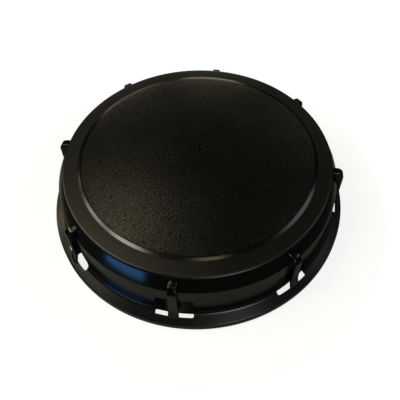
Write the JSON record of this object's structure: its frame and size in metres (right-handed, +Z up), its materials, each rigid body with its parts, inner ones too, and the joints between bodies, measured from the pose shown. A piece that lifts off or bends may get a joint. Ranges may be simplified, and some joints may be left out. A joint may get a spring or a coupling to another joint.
{
  "type": "intermediate bulk container lid",
  "caption": "Round black screw lid for a bulk container's filling neck: domed roof, grip ribs, sloping flange with windows, coarse inner thread and a flat sealing ring.",
  "frame": {"origin": "on the lid's axis, in the plane of the rim's underside", "axes": "+Z up along the lid's axis towards the crown, -Y through one grip rib"},
  "size_m": [0.19, 0.19, 0.043],
  "materials": {
    "black_polyethylene": "moulded high-density polyethylene: spark-textured disc, satin to glossy sides",
    "black_rubber": "flat EPDM ring, dull"
  },
  "bodies": {
    "root": {"screw_cap": "black_polyethylene", "gasket": "black_rubber"}
  },
  "joints": []
}
